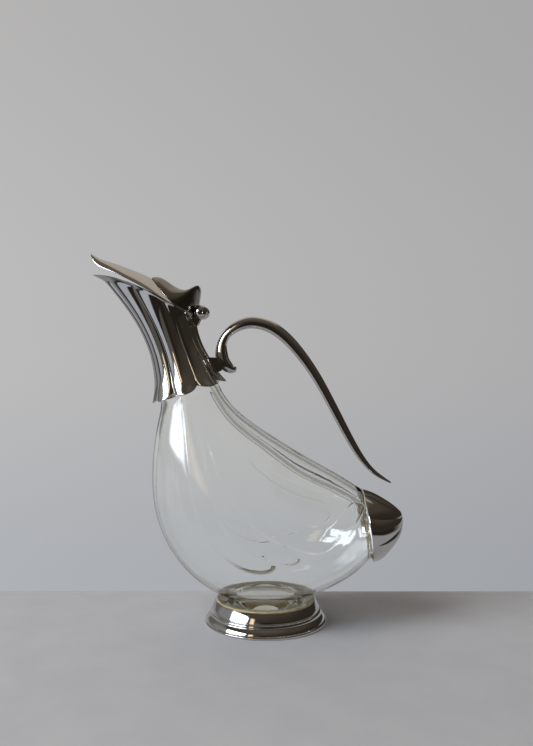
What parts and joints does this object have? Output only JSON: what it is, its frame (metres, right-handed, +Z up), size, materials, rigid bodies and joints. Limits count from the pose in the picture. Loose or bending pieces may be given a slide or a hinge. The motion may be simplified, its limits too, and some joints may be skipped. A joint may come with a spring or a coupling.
{
  "type": "claret jug",
  "caption": "Claret jug with a bird-shaped glass body, fluted metal neck mount and beak spout, hinged crested lid, scroll handle, fluted tail cap and round foot.",
  "frame": {"origin": "centre of the foot's flat lower edge, on the table", "axes": "+Z up, beak towards -X, tail towards +X, hinge axis along Y; the jug is the same on both sides of Y = 0"},
  "size_m": [0.2371, 0.1, 0.2803],
  "materials": {
    "glass": "clear blown glass, polished",
    "silver_plate": "polished silver plate, lightly worn",
    "cement": "yellowed plaster cement"
  },
  "bodies": {
    "jug": {"glass_body": "glass", "foot": "silver_plate", "foot_cement": "cement", "neck_mount": "silver_plate", "neck_cement": "cement", "hinge_base": "silver_plate", "hinge_pin": "silver_plate", "hinge_finials": "silver_plate", "handle": "silver_plate", "handle_bracket": "silver_plate", "tail_cap": "silver_plate", "tail_cement": "cement"},
    "lid": {"lid": "silver_plate", "lid_knuckle": "silver_plate", "lid_crest": "silver_plate"}
  },
  "joints": [
    {"name": "lid_hinge", "type": "hinge", "parent": "jug", "child": "lid", "pos_m": [-0.04824, 0, 0.23575], "axis": [0, 1, 0], "range_deg": [0, 95]}
  ]
}
